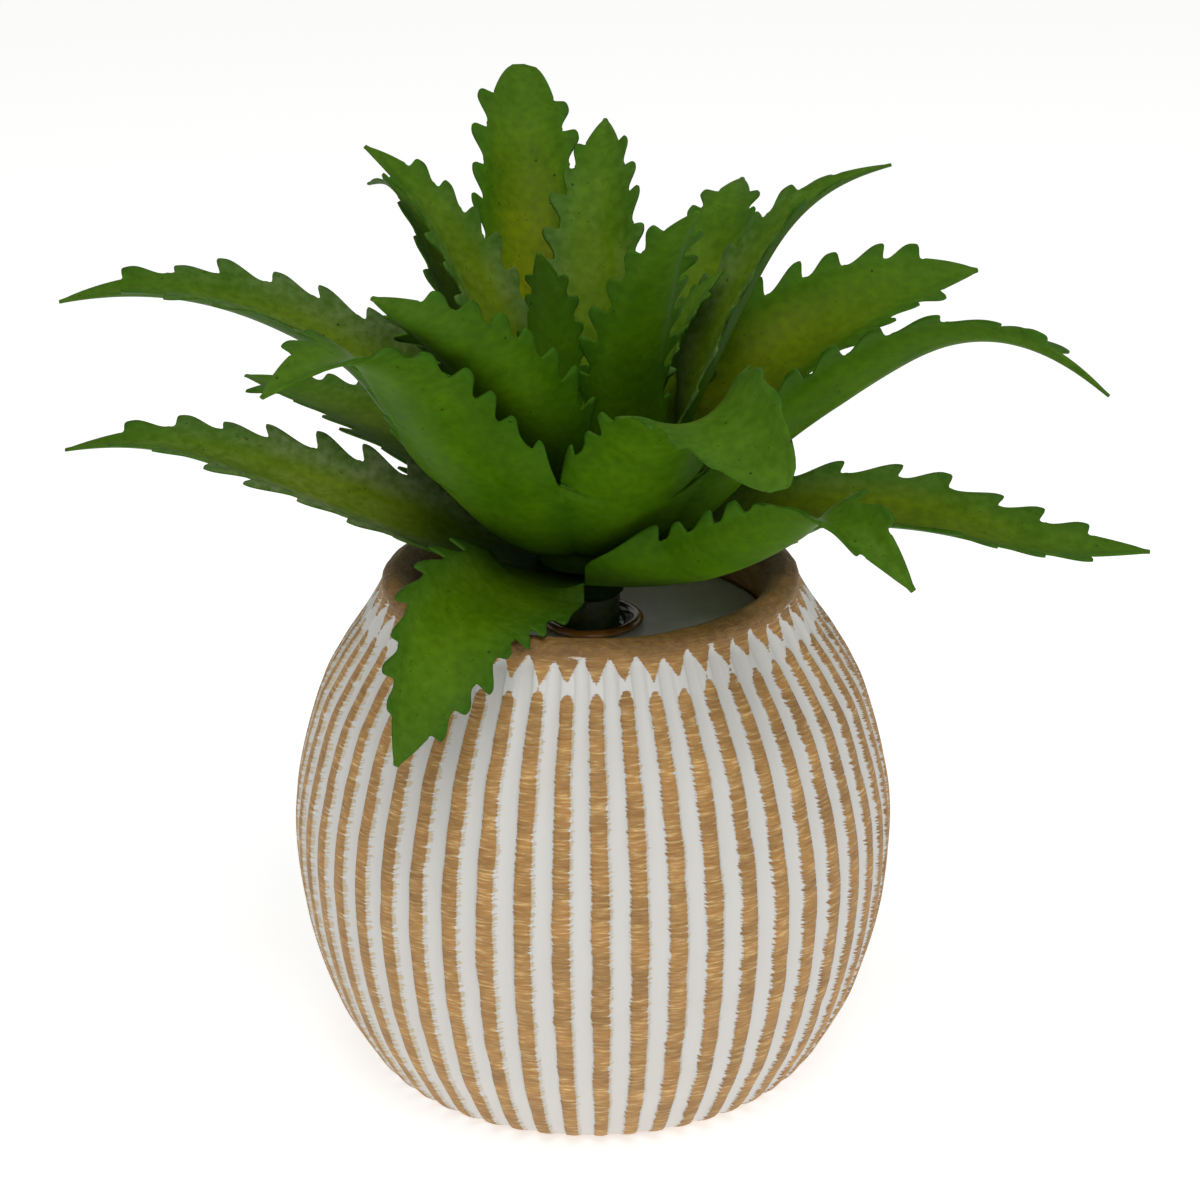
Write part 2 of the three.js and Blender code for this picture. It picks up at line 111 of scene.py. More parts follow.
def smooth_line(points, count):
    """count points at even distances along the uniform Catmull-Rom curve through the given points."""
    ends = np.vstack([2 * points[0] - points[1], points, 2 * points[-1] - points[-2]])
    span = np.repeat(np.arange(len(points) - 1), 60)
    f = np.tile(np.linspace(0, 1, 60, endpoint=False), len(points) - 1)[:, None]
    a, b, c, d = (ends[span + k] for k in range(4))
    dense = 0.5 * (2 * b + (c - a) * f + (2 * a - 5 * b + 4 * c - d) * f ** 2
                   + (3 * b - a - 3 * c + d) * f ** 3)
    dense = np.vstack([dense, points[-1]])
    length = np.concatenate([[0], np.cumsum(np.linalg.norm(np.diff(dense, axis=0), axis=1))])
    even = np.linspace(0, length[-1], count)
    return np.stack([np.interp(even, length, dense[:, k]) for k in range(dense.shape[1])], axis=1)


def mesh_piece(name, points, faces, attributes=None):
    """A smooth mesh object from points in mm and lists of faces, with float attributes per point."""
    mesh = bpy.data.meshes.new(name)
    mesh.from_pydata((np.asarray(points) / 1000).tolist(), [], faces)
    mesh.update()
    mesh.polygons.foreach_set("use_smooth", np.ones(len(mesh.polygons), bool))
    for key, values in (attributes or {}).items():
        mesh.attributes.new(key, "FLOAT", "POINT").data.foreach_set("value", np.float32(values).ravel())
    piece = bpy.data.objects.new(name, mesh)
    bpy.context.scene.collection.objects.link(piece)
    return piece


def ring_faces(rows, columns, foot, top):
    """Faces of rings of points round the axis, closed by the two pole points foot and top."""
    a = (np.arange(rows - 1)[:, None] * columns + np.arange(columns)).ravel()
    b = (np.arange(rows - 1)[:, None] * columns + np.roll(np.arange(columns), -1)).ravel()
    faces = np.stack([a, b, b + columns, a + columns], axis=1).tolist()
    around, ahead = np.arange(columns), np.roll(np.arange(columns), -1)
    last = (rows - 1) * columns
    faces += np.stack([ahead, around, np.full(columns, foot)], axis=1).tolist()
    faces += np.stack([last + around, last + ahead, np.full(columns, top)], axis=1).tolist()
    return faces


def add(tree, kind, inputs, output=0, **settings):
    """Adds a shader node: settings are its properties, and inputs gives each of its sockets, by name
    or place, a value or the output of another node. Gives the node's own output, if it has one."""
    new = tree.nodes.new("ShaderNode" + kind)
    for key, value in settings.items():
        setattr(new, key, value)
    live = [socket for socket in new.inputs if socket.enabled]
    for key, value in inputs.items():
        socket = live[key] if isinstance(key, int) else next(s for s in live if s.name == key)
        if isinstance(value, bpy.types.NodeSocket):
            tree.links.new(value, socket)
        else:
            socket.default_value = value
    outputs = [socket for socket in new.outputs if socket.enabled]
    return outputs[output] if outputs else None


def new_material(name):
    """An empty node material, its node tree and nothing else."""
    material = bpy.data.materials.new(name)
    material.use_nodes = True
    material.node_tree.nodes.clear()
    return material, material.node_tree


def pot_surface():
    """Rings of points from the foot up the barrel, over the lip and down inside. The radius at an
    azimuth is the barrel's less the groove: 0 on the crest of a rib, a steep side a quarter of the
    way across, and a round scoop to the full depth in the middle. A groove ends in a round point.
    Gives two fields for the paint: white, the distance into the white ground as a part of the pitch,
    and side, the place across a rib from -0.5 to 0.5."""
    outside = smooth_line(BARREL, OUTSIDE_ROWS)
    profile = np.vstack([POT_FOOT, outside, POT_LIP])
    rib = np.add.outer(np.arange(RIB_COUNT), RIB_COLUMNS).ravel()
    r, z = profile[:, :1], profile[:, 1:]
    row = np.arange(len(profile))[:, None] - len(POT_FOOT)
    on_outside = (row >= 0) & (row < len(outside))
    turn = 2 * np.pi * rib / RIB_COUNT
    drift = 0.018 * waves(11, 8, 3, 7, np.sin(turn) * 6, np.cos(turn) * 6, z / 12)
    drift = drift + 0.014 * waves(12, 8, 6, 14, np.sin(turn) * 9, np.cos(turn) * 9, z / 9)
    phase = rib + np.where(on_outside, drift, 0)
    x = np.abs((phase + 0.5) % 1 - 0.5)
    tip = TIP_HEIGHT + TIP_WANDER * np.sin(np.round(rib - 0.5 + 1e-6) * 2.4) * np.ones_like(z)
    below = np.clip((tip - z) / TIP_LENGTH, 0, 1.6)
    lobe = 0.5 - 0.5 * below ** 0.92
    scoop = GROOVE_STEP * ease((x - 0.215) / 0.055)
    round_part = np.sin(np.pi / 2 * np.clip((x - GROOVE_EDGE) / (0.5 - GROOVE_EDGE), 0, 1))
    scoop = scoop + (1 - GROOVE_STEP) * round_part
    fade = ease(z / 2.2) * ease((tip + 0.2 - z) / 1.6)
    fade = fade * ease((x - lobe + 0.06) / 0.1)
    crest = CREST_RISE * np.cos(np.pi * np.clip(x / GROOVE_EDGE, 0, 1)) - 0.05
    depth = np.where(on_outside, GROOVE_DEPTH * scoop * fade - crest * ease((76 - z) / 2), 0)
    rough = LIP_ROUGH * waves(13, 14, 2, 5, r * np.sin(turn) / 3, r * np.cos(turn) / 3, z / 3)
    lip = ease((z - 80) / 1.5) * ease((r - 25) / 1)
    radius = r - depth + lip * rough
    height = z + lip * LIP_WAVE * waves(14, 6, 0.8, 2, 4 * np.sin(turn), 4 * np.cos(turn))
    azimuth = np.radians(FIRST_RIB) + turn
    points = np.stack([radius * np.sin(azimuth), -radius * np.cos(azimuth), height + 0 * turn], axis=-1)
    # The brown reaches up each rib to the band, and down from the lip between the groove's points.
    rib_top = BAND[0] - 1.1 * (x / GROOVE_EDGE) ** 2 + TIP_WANDER * np.sin(np.round(rib) * 1.7)
    on_rib = np.maximum(x - RIDGE_HALF, (z - rib_top) / RIB_PITCH)
    on_tooth = np.where(z > BAND[1] - 0.3, x - lobe, 1.0)
    white = np.minimum(np.minimum(on_rib, 1.0), on_tooth)
    white = np.where(z > tip, -(z - tip) / RIB_PITCH - 0.001, white)
    white = np.where(on_outside, white, -0.5)
    side = (phase + 0.5) % 1 - 0.5
    flat = points.reshape(-1, 3)
    poles = [[0, 0, 0], [0, 0, 8]]
    faces = ring_faces(len(profile), len(rib), len(flat), len(flat) + 1)
    shape = np.broadcast_shapes(white.shape, side.shape)
    return np.vstack([flat, poles]), faces, {
        "white": np.append(np.broadcast_to(white, shape), [-0.5, -0.5]),
        "side": np.append(np.broadcast_to(side, shape), [0, 0]),
    }


pot = mesh_piece("painted_pot", *pot_surface())

# Cement under a water-based paint: the white is smooth with a soft sheen, the gold-brown is dry
# brushed, so it is streaked level round the pot and rougher.
painted_cement, tree = new_material("painted_cement")
place = add(tree, "TexCoord", {}, output=3)
streak_place = add(tree, "Mapping", {"Vector": place, "Scale": STREAK_SHAPE})
streaks = add(tree, "TexNoise", {"Vector": streak_place, "Scale": STREAKS, "Detail": 3.0,
                                 "Roughness": 0.6})
mark_place = add(tree, "Mapping", {"Vector": place, "Scale": MARK_SHAPE})
marks = add(tree, "TexNoise", {"Vector": mark_place, "Scale": MARKS, "Detail": 3.0})
stains = add(tree, "TexNoise", {"Vector": place, "Scale": STAINS, "Detail": 3.0})
white = add(tree, "Attribute", {}, output=2, attribute_name="white")
side = add(tree, "Attribute", {}, output=2, attribute_name="side")
height = add(tree, "SeparateXYZ", {"Vector": place}, output=2)
# The edge of the paint wanders by a few tenths of a millimetre, most where the brush leaves the rib.
leaving = add(tree, "MapRange", {"Value": side, "From Min": 0.05, "From Max": 0.25,
                                 "To Min": 0.1, "To Max": 0.24})
edge_noise = add(tree, "MapRange", {"Value": streaks, "From Min": 0.3, "From Max": 0.7,
                                    "To Min": -0.5, "To Max": 0.5}, clamp=False)
edge = add(tree, "Math", {0: edge_noise, 1: leaving, 2: white}, operation="MULTIPLY_ADD")
is_white = add(tree, "MapRange", {"Value": edge, "From Min": -0.012, "From Max": 0.012})
# Just inside the edge where the brush leaves, the brown is thin and looks cream.
thin = add(tree, "MapRange", {"Value": white, "From Min": -0.035, "From Max": 0.0, "To Max": 0.85})
right_side = add(tree, "MapRange", {"Value": side, "From Min": 0.0, "From Max": 0.2})
fringe = add(tree, "Math", {0: thin, 1: right_side}, operation="MULTIPLY")
tone = add(tree, "MapRange", {"Value": streaks, "From Min": 0.32, "From Max": 0.68})
brown = add(tree, "Mix", {"Factor": tone, "A": linear(RIB_DARK), "B": linear(RIB_BROWN)}, data_type="RGBA")
glint = add(tree, "MapRange", {"Value": streaks, "From Min": 0.56, "From Max": 0.75})
brown = add(tree, "Mix", {"Factor": glint, "A": brown, "B": linear(RIB_LIGHT)}, data_type="RGBA")
# The lip is darker, with lighter paint caught in its pits.
on_lip = add(tree, "MapRange", {"Value": height, "From Min": 0.0795, "From Max": 0.0815, "To Max": 0.85})
brown = add(tree, "Mix", {"Factor": on_lip, "A": brown, "B": linear(LIP_BROWN)}, data_type="RGBA")
pits = add(tree, "TexNoise", {"Vector": place, "Scale": PITS, "Detail": 4.0, "Roughness": 0.65})
pitted = add(tree, "MapRange", {"Value": pits, "From Min": 0.45, "From Max": 0.62, "To Max": 0.6})
pitted = add(tree, "Math", {0: pitted, 1: on_lip}, operation="MULTIPLY")
brown = add(tree, "Mix", {"Factor": pitted, "A": brown, "B": linear(LIP_PIT)}, data_type="RGBA")
shade = add(tree, "MapRange", {"Value": marks, "From Min": 0.3, "From Max": 0.7,
                               "To Min": 0.75, "To Max": 1.15})
shade = add(tree, "CombineColor", {"Red": shade, "Green": shade, "Blue": shade})
brown = add(tree, "Mix", {"Factor": 1.0, "A": brown, "B": shade}, data_type="RGBA", blend_type="MULTIPLY")
brown = add(tree, "Mix", {"Factor": fringe, "A": brown, "B": linear(FRINGE_CREAM)}, data_type="RGBA")
stain = add(tree, "MapRange", {"Value": stains, "From Min": 0.5, "From Max": 0.8, "To Max": 0.35})
ground = add(tree, "Mix", {"Factor": stain, "A": linear(GROOVE_WHITE), "B": linear(GROOVE_STAIN)},
             data_type="RGBA")
colour = add(tree, "Mix", {"Factor": is_white, "A": brown, "B": ground}, data_type="RGBA")
roughness = add(tree, "MapRange", {"Value": is_white, "To Min": 0.62, "To Max": 0.42})
is_brown = add(tree, "Math", {0: 1.0, 1: is_white}, operation="SUBTRACT")
relief = add(tree, "Math", {0: streaks, 1: is_brown}, operation="MULTIPLY")
bump = add(tree, "Bump", {"Height": relief, "Strength": 0.6, "Distance": 0.0004})
pit_depth = add(tree, "Math", {0: pits, 1: on_lip}, operation="MULTIPLY")
bump = add(tree, "Bump", {"Height": pit_depth, "Strength": 0.8, "Distance": 0.0008, "Normal": bump})
finish = add(tree, "BsdfPrincipled", {"Base Color": colour, "Roughness": roughness, "Normal": bump})
add(tree, "OutputMaterial", {"Surface": finish})
pot.data.materials.append(painted_cement)
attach(pot, "root")
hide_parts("pot")

# ---------------------------------------------------------------- plug
# The hollow is filled to a finger's breadth under the lip with a cast plug, smooth and faintly
# shiny on top, with a hole left in it for the stem. It is cast in place and needs no fixing.

PLUG = np.array([               # from the middle of its underside round to the hole: radius, height
    [16, 8.3], [32.7, 8.3], [36.9, 15.5], [40.7, 30.0], [41.2, 45.6], [37.5, 60.0], [32.7, 68.0],
    [28.2, 73.0], [27.9, 73.6], [27.4, 73.5], [26.0, 73.3], [20.0, 73.25], [12.0, 73.3], [7.0, 73.6],
    [6.35, 73.5], [6.2, 73.2], [6.2, 52.0], [3.0, 52.0],
])
PLUG_GREY = "#c2c4b4"
PLUG_CLOUD = "#aeb19f"
PLUG_CLOUDS = 120.0             # noise cells a metre: clouds of 8 mm
PLUG_GRAIN = 2500.0             # grit of 0.4 mm


def turned_surface(profile, columns, wobble=0.0, seed=1):
    """A profile of radius and height turned round the axis and closed at both ends by a pole point.
    With wobble, radius and height also wander by that many mm, in smooth waves round the axis."""
    turn = np.linspace(0, 2 * np.pi, columns, endpoint=False)
    r, z = profile[:, :1], profile[:, 1:]
    circle = (3 * np.sin(turn), 3 * np.cos(turn))
    r = r + wobble * waves(seed, 6, 0.6, 1.6, *circle, z)
    z = z + 0.5 * wobble * waves(seed + 1, 6, 0.6, 1.6, *circle, r)
    points = np.stack([r * np.sin(turn), -r * np.cos(turn), z + 0 * turn], axis=-1).reshape(-1, 3)
    poles = [[0, 0, profile[0, 1]], [0, 0, profile[-1, 1]]]
    return np.vstack([points, poles]), ring_faces(len(profile), columns, len(points), len(points) + 1)


plug = mesh_piece("cast_plug", *turned_surface(PLUG, 128))

# Cast resin plaster, grey: smooth, faintly clouded, with a soft gloss that mirrors the leaves.
cast_plaster, tree = new_material("cast_plaster")
place = add(tree, "TexCoord", {}, output=3)
cloud = add(tree, "TexNoise", {"Vector": place, "Scale": PLUG_CLOUDS, "Detail": 4.0})
factor = add(tree, "MapRange", {"Value": cloud, "From Min": 0.35, "From Max": 0.7})
colour = add(tree, "Mix", {"Factor": factor, "A": linear(PLUG_GREY), "B": linear(PLUG_CLOUD)},
             data_type="RGBA")
grain = add(tree, "TexNoise", {"Vector": place, "Scale": PLUG_GRAIN, "Detail": 2.0})
bump = add(tree, "Bump", {"Height": grain, "Strength": 0.2, "Distance": 0.0001})
finish = add(tree, "BsdfPrincipled", {"Base Color": colour, "Roughness": 0.32, "Normal": bump})
add(tree, "OutputMaterial", {"Surface": finish})
plug.data.materials.append(cast_plaster)
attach(plug, "root")
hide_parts("fill")

# ---------------------------------------------------------------- glue
# Hot-melt glue was run into the hole round the stem: it fills the gap below, sinks in a dish as it
# sets and leaves a low bead on the plug. It holds the stem.

GLUE = np.array([               # round its section: radius, height
    [4.9, 58.0], [5.9, 58.0], [5.9, 73.9], [7.9, 73.9], [8.2, 74.15], [8.1, 74.5], [7.7, 74.85],
    [7.2, 75.0], [6.6, 74.9], [6.2, 74.5], [5.9, 73.8], [5.6, 73.0], [5.2, 72.6], [4.9, 72.5],
])
# Glue in the dish round the stem: dark where thick, and darker still as painted shade down in the hole.
GLUE_THICK_AND_SHADE = "#1c1206"
GLUE_AMBER = "#a8712c"
GLUE_CLOUDS = 140.0             # noise cells a metre: thick and thin places of 7 mm


def turned_ring(section, columns, wobble=0.0, seed=1):
    """A closed section of radius and height turned round the axis, wandering as turned_surface does."""
    turn = np.linspace(0, 2 * np.pi, columns, endpoint=False)
    r, z = section[:, :1], section[:, 1:]
    loose = wobble * ease((r - 5.2) / 1.5)
    circle = (2 * np.sin(turn), 2 * np.cos(turn))
    r = r + loose * waves(seed, 6, 0.6, 1.6, *circle)
    z = z + 0.5 * loose * ease((z - 74.2) / 0.5) * waves(seed + 1, 6, 0.6, 1.6, *circle)
    points = np.stack([r * np.sin(turn), -r * np.cos(turn), z + 0 * turn], axis=-1).reshape(-1, 3)
    rows, ahead = np.arange(len(section)), np.roll(np.arange(len(section)), -1)
    a = (rows[:, None] * columns + np.arange(columns)).ravel()
    b = (rows[:, None] * columns + np.roll(np.arange(columns), -1)).ravel()
    c = (ahead[:, None] * columns + np.roll(np.arange(columns), -1)).ravel()
    d = (ahead[:, None] * columns + np.arange(columns)).ravel()
    return points, np.stack([a, b, c, d], axis=1).tolist()


glue = mesh_piece("hot_glue_bead", *turned_ring(GLUE, 96, wobble=0.3, seed=21))

# Hot-melt glue: glossy amber, darker where it is thick; its dish round the stem is painted near black,
# partly thick glue and partly painted shade down in the hole.
hot_melt, tree = new_material("hot_melt_glue")
place = add(tree, "TexCoord", {}, output=3)
cloud = add(tree, "TexNoise", {"Vector": place, "Scale": GLUE_CLOUDS, "Detail": 2.0})
across = add(tree, "VectorMath", {0: place, 1: (1, 1, 0)}, operation="MULTIPLY")
radius = add(tree, "VectorMath", {0: across}, output=0, operation="LENGTH")
# Inside the bead the glue is painted dark: thick glue and painted shade down in the hole round the stem.
bead = add(tree, "MapRange", {"Value": radius, "From Min": 0.0064, "From Max": 0.0078, "To Min": 0.02})
clear = add(tree, "MapRange", {"Value": cloud, "From Min": 0.2, "From Max": 0.6})
factor = add(tree, "Math", {0: bead, 1: clear}, operation="MULTIPLY")
colour = add(tree, "Mix", {"Factor": factor, "A": linear(GLUE_THICK_AND_SHADE), "B": linear(GLUE_AMBER)},
             data_type="RGBA")
bump = add(tree, "Bump", {"Height": cloud, "Strength": 0.3, "Distance": 0.0006})
finish = add(tree, "BsdfPrincipled", {"Base Color": colour, "Roughness": 0.15, "Normal": bump,
                                      "Coat Weight": 0.5})
add(tree, "OutputMaterial", {"Surface": finish})
glue.data.materials.append(hot_melt)
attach(glue, "root")
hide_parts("glue")

# ---------------------------------------------------------------- stem
# A moulded peg of green plastic, thick below and thin above its shoulder. It stands in the glue,
# and every whorl of leaves is pushed down over it.

STEM = np.array([               # radius, height
    [2.0, 52.3], [4.4, 52.3], [4.6, 52.6], [4.6, 70.0], [4.5, 74.0], [4.6, 78.3], [4.4, 78.7], [3.2, 78.7],
    [3.0, 79.0], [3.0, 98.4], [2.7, 98.9], [1.4, 98.9],
])
# The stem's green, darkened almost to black as painted shade under the leaves.
STEM_SHADED_GREEN = "#1b3008"
STEM_FLASH = "#3d3d10"
STEM_BLOTCHES = 420.0           # noise cells a metre: blotches of 2.4 mm

stem = mesh_piece("moulded_stem", *turned_surface(STEM, 48))

# Polyethylene, olive green, darkened to near black-green as painted shade, for the stem stands in the shade
# of the leaves: dull, blotched where flash and dirt sit in the neck.
stem_plastic, tree = new_material("stem_polyethylene")
place = add(tree, "TexCoord", {}, output=3)
blotch = add(tree, "TexNoise", {"Vector": place, "Scale": STEM_BLOTCHES, "Detail": 3.0})
factor = add(tree, "MapRange", {"Value": blotch, "From Min": 0.42, "From Max": 0.62})
colour = add(tree, "Mix", {"Factor": factor, "A": linear(STEM_SHADED_GREEN), "B": linear(STEM_FLASH)},
             data_type="RGBA")
bump = add(tree, "Bump", {"Height": blotch, "Strength": 0.5, "Distance": 0.0004})
finish = add(tree, "BsdfPrincipled", {"Base Color": colour, "Roughness": 0.5, "Normal": bump})
add(tree, "OutputMaterial", {"Surface": finish})
stem.data.materials.append(stem_plastic)
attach(stem, "root")
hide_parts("stem")

# ---------------------------------------------------------------- leaves
# Each whorl is one moulding of soft polyethylene: a bored hub and a sheet that parts into channelled
# leaves with blunt teeth, thin at the edges. The long tips curl as they cool. Four whorls are
# threaded on the stem, the lowest first.

SHEET_START = 3.9               # radius where the sheet leaves its hub
BORE = 3.3
TEETH = 7                       # on each edge
TEETH_TO = 0.9
TOOTH_HEIGHT = 0.04             # parts of the leaf's length
TOOTH_HOOK = 0.036              # how far a tooth leans to the tip, in parts of the length
RIM = 0.6                       # mm, the strip along the margin that the teeth grow from
HOLLOW = 0.45                   # mm, how far the margin draws in between two teeth
WIDEST = 0.38                   # place along a leaf, from 0 to 1
TIP_HALF_WIDTH = 0.35
EDGE_THICKNESS = 0.5
RIDGE_THICKNESS = 1.2
ROWS_PER_TOOTH = 18
BLADE_COLUMNS = 15              # across the blade, between its rims
COLUMN_BUNCHING = 1.2           # radians of a sine, which brings the columns closer near the rims
RIM_COLUMNS = (1, 0.67, 0.33)   # places over the rim, from the margin in
HUB_ROUND = 0.3                 # mm, the bevel of a hub
HUB_RISE = 1.6                  # mm that the hub stands over the sheet's start
FIRST_SEED = 40
# A leaf is its azimuth, length and bends, and what of its whorl's blade it changes. Its yellow and
# bloom say how much of each it shows.
LEAF_KEYS = ("azimuth", "length", "rise", "bend", "curl", "sweep", "roll", "twist")
WHORLS = {
    "whorl_lower": {
        "height": 82.4, "slope": 12, "hub": (5.2, 79),
        "joined": 0.2, "fade": 0.16, "teethFrom": 0.26, "hook": 0.6,
        "blade": {"halfWidth": 8.2, "foot": 0.75, "point": 0.8, "cup": 42, "cupTip": 32,
                  "curlFrom": 0.63, "curlTo": 1, "flip": 0, "toothTip": 0.7},
        "leaves": [
            (30, 76, 14, 35, -92, 18, -27, -3,
             {"halfWidth": 7.7, "cup": 74, "cupTip": 40, "flip": 92, "yellow": 0.1, "bloom": 0.1}),
            (95, 85, 33, -73, 39, -13, 6, 7, {"halfWidth": 9, "yellow": 0.8, "bloom": 0.1}),
            (150, 80, 22, -40, 0, 5, 0, 8, {"yellow": 0.5, "bloom": 0.2}),
            (229, 80, 37, -52, 12, -6, -6, 4, {"halfWidth": 8.3, "yellow": 0.4, "bloom": 0.2}),
            (271, 81, 24, -7, -27, -7, -27, 28, {"halfWidth": 8.4, "yellow": 0.6, "bloom": 0.45}),
            (324, 62, 8, 1, -37, 21, -22, -17,
             {"halfWidth": 9.2, "curlFrom": 0.42, "curlTo": 0.68, "cup": 31, "yellow": 0.1, "bloom": 0.05}),
        ],
    },
    "whorl_middle": {
        "height": 87, "slope": 10, "hub": (8.3, 84.5),
        "joined": 0.34, "fade": 0.16, "teethFrom": 0.36, "hook": 0.35,
        "blade": {"halfWidth": 9.2, "foot": 0.85, "point": 0.8, "cup": 60, "cupTip": 34,
                  "curlFrom": 0.6, "curlTo": 1, "flip": 0, "toothTip": 0.7},
        "leaves": [
            (16, 75, 54, -15, -71, 18, -12, 15,
             {"halfWidth": 10.9, "point": 0.42, "curlFrom": 0.55, "cup": 76, "flip": 55,
              "toothTip": 0.1, "yellow": 0.1, "bloom": 0.1}),
            (68, 93, 58, -37, -54, -7, -11, -13, {"halfWidth": 9, "yellow": 0.3, "bloom": 0.1}),
            (133, 80, 57, -53, -3, -25, 0, 35, {"halfWidth": 11.2, "yellow": 0.9, "bloom": 0}),
            (185, 76, 45, -35, -20, 5, 0, 0, {"yellow": 0.5, "bloom": 0.2}),
            (246, 92, 66, -67, -9, 32, 1, -4, {"halfWidth": 10.4, "yellow": 0.5, "bloom": 0.4}),
            (324, 84, 46, 9, -71, -6, 19, -12,
             {"halfWidth": 10.5, "cup": 51, "flip": -18, "yellow": 0.15, "bloom": 0.05}),
        ],
    },
    "whorl_upper": {
        "height": 92.1, "slope": 30, "hub": (5.5, 88.9),
        "joined": 0.24, "fade": 0.22, "teethFrom": 0.3, "hook": 0.05,
        "blade": {"halfWidth": 8.1, "foot": 0.8, "point": 0.8, "cup": 55, "cupTip": 34,
                  "curlFrom": 0.63, "curlTo": 1, "flip": 0, "toothTip": 0.7},
        "leaves": [
            (19, 67, 81, -25, -17, 12, 3, -18, {"halfWidth": 6.6, "yellow": 0.1, "bloom": 0}),
            (96, 71, 77, -28, -37, 6, 20, -32, {"halfWidth": 8.6, "yellow": 0.2, "bloom": 0.3}),
            (133, 66, 60, -20, -34, 35, 1, -3, {"halfWidth": 7.9, "yellow": 0.5, "bloom": 0.1}),
            (201, 82, 56, -11, -14, -24, 8, 2,
             {"halfWidth": 9.3, "point": 0.42, "yellow": 1.3, "bloom": 0}),
            (245, 67, 69, -15, -72, -31, 0, 11,
             {"halfWidth": 6.4, "curlFrom": 0.7, "yellow": 0.2, "bloom": 0.2}),
            (340, 73, 68, -44, 4, -22, 2, 39, {"yellow": 0.1, "bloom": 0.05}),
        ],
    },
    "heart": {
        "height": 97.6, "slope": 45, "hub": (5, 94.1),
        "joined": 0.2, "fade": 0.22, "teethFrom": 0.3, "hook": 0.05,
        "blade": {"halfWidth": 5.2, "foot": 0.75, "point": 0.75, "cup": 50, "cupTip": 34,
                  "curlFrom": 0.63, "curlTo": 1, "flip": 0, "toothTip": 0.7},
        "leaves": [
            (37, 38, 77, -11, -15, 0, 0, 0, {"yellow": 0.2, "bloom": 0.2}),
            (107, 36, 70, -8, -15, 0, 0, 0, {"yellow": 0.2, "bloom": 0.2}),
            (176, 61, 73, -30, -18, -1, -3, -4, {"halfWidth": 7.7, "yellow": 0.3, "bloom": 0.15}),
            (246, 60, 77, -27, -16, 6, -16, 3, {"halfWidth": 6.8, "yellow": 0.6, "bloom": 0.2}),
            (307, 39, 83, 18, -30, 15, 7, 13, {"halfWidth": 5.7, "yellow": 0.1, "bloom": 0.1}),
        ],
    },
}


def heading(azimuth, elevation):
    """Unit vectors at azimuths and elevations in degrees."""
    a, e = np.radians(azimuth), np.radians(elevation)
    return np.stack([np.sin(a) * np.cos(e), -np.cos(a) * np.cos(e), np.sin(e) + 0 * a], axis=-1)


def midrib(leaf, whorl, t):
    """The midrib at t from 0 to 1: its direction turns in azimuth by sweep and in elevation from the
    whorl's slope to rise + bend t + curl, and its points are the running sum of that direction.
    Gives the point and the unit vectors sideways and up, rolled about the midrib by roll + twist t."""
    def turned_by_curl(s):
        return ease((s - leaf["curlFrom"]) / (leaf["curlTo"] - leaf["curlFrom"]))

    def direction(s):
        target = leaf["rise"] + leaf["bend"] * s + leaf["curl"] * turned_by_curl(s)
        slope = whorl["slope"] + (target - whorl["slope"]) * ease(s / 0.25)
        return heading(leaf["azimuth"] + leaf["sweep"] * s, slope)

    steps = 96
    path = np.cumsum(direction((np.arange(steps) + 0.5) / steps) * leaf["length"] / steps, axis=0)
    start = heading(leaf["azimuth"], 0) * SHEET_START + [0, 0, whorl["height"]]
    path = start + np.vstack([np.zeros(3), path])
    point = np.stack([np.interp(t * steps, np.arange(steps + 1), path[:, k]) for k in range(3)], axis=-1)
    along = direction(t)
    side = heading(leaf["azimuth"] + leaf["sweep"] * t + 90, 0)
    up = np.cross(along, side)
    roll = np.radians(leaf["roll"] + leaf["twist"] * t + leaf["flip"] * turned_by_curl(t))[..., None]
    return point, side * np.cos(roll) + up * np.sin(roll), up * np.cos(roll) - side * np.sin(roll)


def across_joined(u, out):
    """Where a point across the blade comes to lie in the joined sheet: its rim is a narrow strip."""
    return u * (0.93 + 0.07 * out)


def leaf_sheet(leaf, whorl, t, u, out, tooth):
    """Middle surface of a leaf at t along and u across: an arc of cup degrees each side of the
    midrib, blended at the foot with a sheet that runs round the axis from seam to seam. The arc's
    width is half - rim (1 - out) + out tooth: out runs from 0 on the blade to 1 at its margin."""
    point, side, up = midrib(leaf, whorl, t)
    taper = np.cos(np.pi / 2 * np.clip((t - WIDEST) / (1 - WIDEST), 0, 1))
    swell = leaf["foot"] + (1 - leaf["foot"]) * np.sin(np.pi / 2 * np.clip(t / WIDEST, 0, 1))
    half = np.maximum(leaf["halfWidth"] * swell * np.maximum(taper, 0) ** leaf["point"], TIP_HALF_WIDTH)
    cup = np.radians(leaf["cup"] + (leaf["cupTip"] - leaf["cup"]) * t)
    rim = np.minimum(RIM, 0.45 * half)
    scale = (half - rim * (1 - out) + out * np.maximum(tooth, -0.7 * rim)) / cup
    lift = scale * (1 - np.cos(cup * u))
    blade = point + (scale * np.sin(cup * u))[..., None] * side + lift[..., None] * up
    here = np.degrees(np.arctan2(point[..., 0], -point[..., 1]))
    azimuth = leaf["azimuth"] + (here - leaf["azimuth"] + 180) % 360 - 180
    reach = np.where(u > 0, leaf["seam_after"] - azimuth, azimuth - leaf["seam_before"])
    sheet = heading(azimuth + across_joined(u, out) * reach, 0)
    sheet = sheet * np.hypot(point[..., 0], point[..., 1])[..., None]
    own = ease(t / (whorl["joined"] + whorl["fade"]))
    sheet[..., 2] = point[..., 2] + (blade[..., 2] - point[..., 2]) * own
    joined = (1 - ease((t - whorl["joined"]) / whorl["fade"]))[..., None]
    return blade + (sheet - blade) * joined


